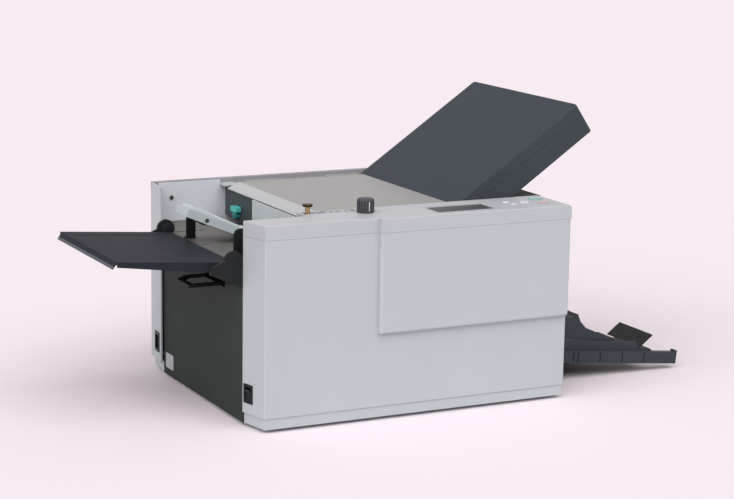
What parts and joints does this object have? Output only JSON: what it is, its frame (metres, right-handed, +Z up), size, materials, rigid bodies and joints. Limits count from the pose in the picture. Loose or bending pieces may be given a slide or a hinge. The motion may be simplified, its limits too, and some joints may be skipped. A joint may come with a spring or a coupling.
{
  "type": "paper folding machine",
  "caption": "Desktop paper folding machine with a fold-up feed tray, roller nest, slanted upper fold plate, control strip and exit stacker tray.",
  "frame": {"origin": "centre of the whole machine's footprint, trays included, on the table under the rubber feet", "axes": "+X from the feed tray towards the exit stacker, +Y from the operator's side to the back, +Z up"},
  "size_m": [1.1772, 0.52, 0.5329],
  "materials": {
    "casing_paint": "light warm grey, fine satin powder coat",
    "band_grey": "light grey satin paint",
    "top_panel_grey": "mid grey satin paint",
    "dark_plate": "charcoal moulded plastic, fine texture",
    "dark_panel": "near-black textured paint",
    "stacker_plastic": "dark blue-grey moulded plastic",
    "tray_dark": "dark glossy moulded plastic",
    "black_plastic": "black moulded plastic",
    "knob_grey": "dark grey moulded plastic",
    "teal_plastic": "teal moulded plastic",
    "light_steel": "pale painted sheet steel",
    "zinc_steel": "zinc-plated steel",
    "shaft_steel": "ground steel",
    "rubber_roller": "ground rubber over a steel core",
    "rubber_feet": "moulded rubber",
    "gear_white": "natural white acetal",
    "brass": "turned brass, worn",
    "bronze": "sintered bronze",
    "display": "dark liquid-crystal window",
    "board_green": "solder-masked circuit board",
    "key_pale": "pale key cap",
    "key_green": "pale green key cap",
    "key_red": "pale salmon key cap",
    "rim_mauve": "mauve-grey extrusion",
    "motor_black": "black painted steel can",
    "belt_black": "toothed rubber belt"
  },
  "bodies": {
    "casing": {"base_pan": "casing_paint", "rubber_feet": "rubber_feet", "front_side_frame": "zinc_steel", "rear_side_frame": "light_steel", "tie_bars": "zinc_steel", "front_cover": "casing_paint", "door_panel": "casing_paint", "control_strip": "band_grey", "rear_cover": "casing_paint", "rear_cover_rim": "rim_mauve", "left_end_panel": "dark_panel", "right_end_panel": "dark_panel", "throat_wall": "light_steel", "feed_table": "light_steel", "tray_brackets": "black_plastic", "roller_bearings": "bronze", "drive_motor": "motor_black", "drive_belt": "belt_black", "circuit_boards": "board_green", "display_window": "display", "adjuster_rail": "zinc_steel", "switch_frame": "black_plastic", "power_inlet": "black_plastic", "screws": "zinc_steel", "lower_plate": "zinc_steel", "exit_chute": "zinc_steel", "stacker_tray": "stacker_plastic"},
    "top_lid": {"top_cover": "top_panel_grey", "top_cover_lip": "band_grey"},
    "fold_plate": {"upper_plate_cover": "dark_plate", "upper_plate_base": "dark_plate"},
    "upper_stop_body": {"upper_stop": "zinc_steel"},
    "lower_stop_body": {"lower_stop": "zinc_steel"},
    "feed_tray_body": {"feed_tray": "tray_dark"},
    "front_guide_body": {"front_guide": "black_plastic"},
    "rear_guide_body": {"rear_guide": "black_plastic"},
    "tray_lever_body": {"tray_lever": "black_plastic"},
    "feed_arm_body": {"feed_arm": "light_steel"},
    "feed_roller_body": {"feed_roller": "rubber_roller"},
    "pressure_lever_body": {"pressure_lever": "teal_plastic"},
    "motor_pulley_body": {"motor_pulley": "zinc_steel"},
    "setting_knob_body": {"setting_knob": "knob_grey"},
    "thumb_screw_body": {"thumb_screw": "brass"},
    "power_rocker_body": {"power_rocker": "black_plastic"},
    "exit_arm_body": {"exit_arm": "stacker_plastic"},
    "exit_roller_body": {"exit_roller": "rubber_roller"},
    "stacker_stop_body": {"stacker_stop": "black_plastic"},
    "fold_roller_1_body": {"fold_roller_1": "rubber_roller", "fold_gear_1": "gear_white"},
    "fold_roller_2_body": {"fold_roller_2": "rubber_roller", "fold_gear_2": "gear_white"},
    "fold_roller_3_body": {"fold_roller_3": "rubber_roller", "fold_gear_3": "gear_white"},
    "fold_roller_4_body": {"fold_roller_4": "rubber_roller", "fold_gear_4": "gear_white"},
    "left_key_body": {"left_key": "key_pale"},
    "middle_key_body": {"middle_key": "key_pale"},
    "right_key_body": {"right_key": "key_pale"},
    "start_key_body": {"start_key": "key_green"},
    "stop_key_body": {"stop_key": "key_red"}
  },
  "joints": [
    {"name": "top_cover_hinge", "type": "hinge", "parent": "casing", "child": "top_lid", "pos_m": [-0.0566, 0.2205, 0.359], "axis": [-1, 0, 0], "range_deg": [0, 70]},
    {"name": "upper_plate_lift_off", "type": "slide", "parent": "casing", "child": "fold_plate", "axis": [0.8251, 0, 0.565], "range_m": [0, 0.08]},
    {"name": "upper_stop_slide", "type": "slide", "parent": "fold_plate", "child": "upper_stop_body", "axis": [0.8251, 0, 0.565], "range_m": [-0.14, 0.07]},
    {"name": "lower_stop_slide", "type": "slide", "parent": "casing", "child": "lower_stop_body", "axis": [-0.766, 0, -0.6428], "range_m": [-0.09, 0.08]},
    {"name": "feed_tray_fold", "type": "hinge", "parent": "casing", "child": "feed_tray_body", "pos_m": [-0.3736, -0.02, 0.297], "axis": [0, 1, 0], "range_deg": [0, 50]},
    {"name": "front_guide_slide", "type": "slide", "parent": "casing", "child": "front_guide_body", "axis": [0, 1, 0], "range_m": [-0.008, 0.008]},
    {"name": "rear_guide_slide", "type": "slide", "parent": "casing", "child": "rear_guide_body", "axis": [0, 1, 0], "range_m": [-0.01, 0.05]},
    {"name": "tray_lever_tilt", "type": "hinge", "parent": "casing", "child": "tray_lever_body", "pos_m": [-0.3416, -0.057, 0.238], "axis": [0, 1, 0], "range_deg": [-12, 12]},
    {"name": "feed_arm_swing", "type": "hinge", "parent": "casing", "child": "feed_arm_body", "pos_m": [-0.2596, 0.022, 0.303], "axis": [0, 1, 0], "range_deg": [-18, 8]},
    {"name": "feed_roller_spin", "type": "hinge", "parent": "feed_arm_body", "child": "feed_roller_body", "pos_m": [-0.3486, 0.022, 0.334], "axis": [0, 1, 0], "continuous": true},
    {"name": "pressure_lever_swing", "type": "hinge", "parent": "casing", "child": "pressure_lever_body", "pos_m": [-0.2156, 0.174, 0.304], "axis": [1, 0, 0], "range_deg": [-15, 15]},
    {"name": "fold_roller_1_spin", "type": "hinge", "parent": "casing", "child": "fold_roller_1_body", "pos_m": [0.04763, 0.046, 0.32172], "axis": [0, 1, 0], "continuous": true},
    {"name": "fold_roller_2_spin", "type": "hinge", "parent": "casing", "child": "fold_roller_2_body", "pos_m": [0.06916, 0.046, 0.29028], "axis": [0, 1, 0], "continuous": true},
    {"name": "fold_roller_3_spin", "type": "hinge", "parent": "casing", "child": "fold_roller_3_body", "pos_m": [0.10668, 0.046, 0.28367], "axis": [0, 1, 0], "continuous": true},
    {"name": "fold_roller_4_spin", "type": "hinge", "parent": "casing", "child": "fold_roller_4_body", "pos_m": [0.10007, 0.046, 0.24614], "axis": [0, 1, 0], "continuous": true},
    {"name": "motor_pulley_spin", "type": "hinge", "parent": "casing", "child": "motor_pulley_body", "pos_m": [-0.0266, -0.17, 0.124], "axis": [0, 1, 0], "continuous": true},
    {"name": "setting_knob_turn", "type": "hinge", "parent": "casing", "child": "setting_knob_body", "pos_m": [-0.1236, -0.191, 0.376], "axis": [0, 0, -1], "range_deg": [-135, 135]},
    {"name": "thumb_screw_turn", "type": "hinge", "parent": "casing", "child": "thumb_screw_body", "pos_m": [-0.2236, -0.163, 0.371], "axis": [0, 0, 1], "continuous": true},
    {"name": "power_rocker_tilt", "type": "hinge", "parent": "casing", "child": "power_rocker_body", "pos_m": [-0.34599, -0.20248, 0.062], "axis": [-0.2169, 0.9762, 0], "range_deg": [0, 16]},
    {"name": "left_key_press", "type": "slide", "parent": "casing", "child": "left_key_body", "axis": [0, 0, -1], "range_m": [0, 0.0015], "stiffness_N_per_m": 300, "springref_m": -0.001},
    {"name": "middle_key_press", "type": "slide", "parent": "casing", "child": "middle_key_body", "axis": [0, 0, -1], "range_m": [0, 0.0015], "stiffness_N_per_m": 300, "springref_m": -0.001},
    {"name": "right_key_press", "type": "slide", "parent": "casing", "child": "right_key_body", "axis": [0, 0, -1], "range_m": [0, 0.0015], "stiffness_N_per_m": 300, "springref_m": -0.001},
    {"name": "start_key_press", "type": "slide", "parent": "casing", "child": "start_key_body", "axis": [0, 0, -1], "range_m": [0, 0.0015], "stiffness_N_per_m": 300, "springref_m": -0.001},
    {"name": "stop_key_press", "type": "slide", "parent": "casing", "child": "stop_key_body", "axis": [0, 0, -1], "range_m": [0, 0.0015], "stiffness_N_per_m": 300, "springref_m": -0.001},
    {"name": "exit_arm_lift", "type": "hinge", "parent": "casing", "child": "exit_arm_body", "pos_m": [0.2464, -0.1, 0.118], "axis": [0, -1, 0], "range_deg": [0, 30]},
    {"name": "exit_roller_spin", "type": "hinge", "parent": "exit_arm_body", "child": "exit_roller_body", "pos_m": [0.4474, -0.1, 0.0611], "axis": [0, 1, 0], "continuous": true},
    {"name": "stacker_stop_slide", "type": "slide", "parent": "casing", "child": "stacker_stop_body", "axis": [0.9945, 0, -0.1045], "range_m": [0, 0.025]}
  ],
  "couplings": [
    {"joint": "fold_roller_2_spin", "follows": "fold_roller_1_spin", "ratio": -1},
    {"joint": "fold_roller_3_spin", "follows": "fold_roller_1_spin", "ratio": 1},
    {"joint": "fold_roller_4_spin", "follows": "fold_roller_1_spin", "ratio": -1},
    {"joint": "motor_pulley_spin", "follows": "fold_roller_1_spin", "ratio": -2.4}
  ]
}
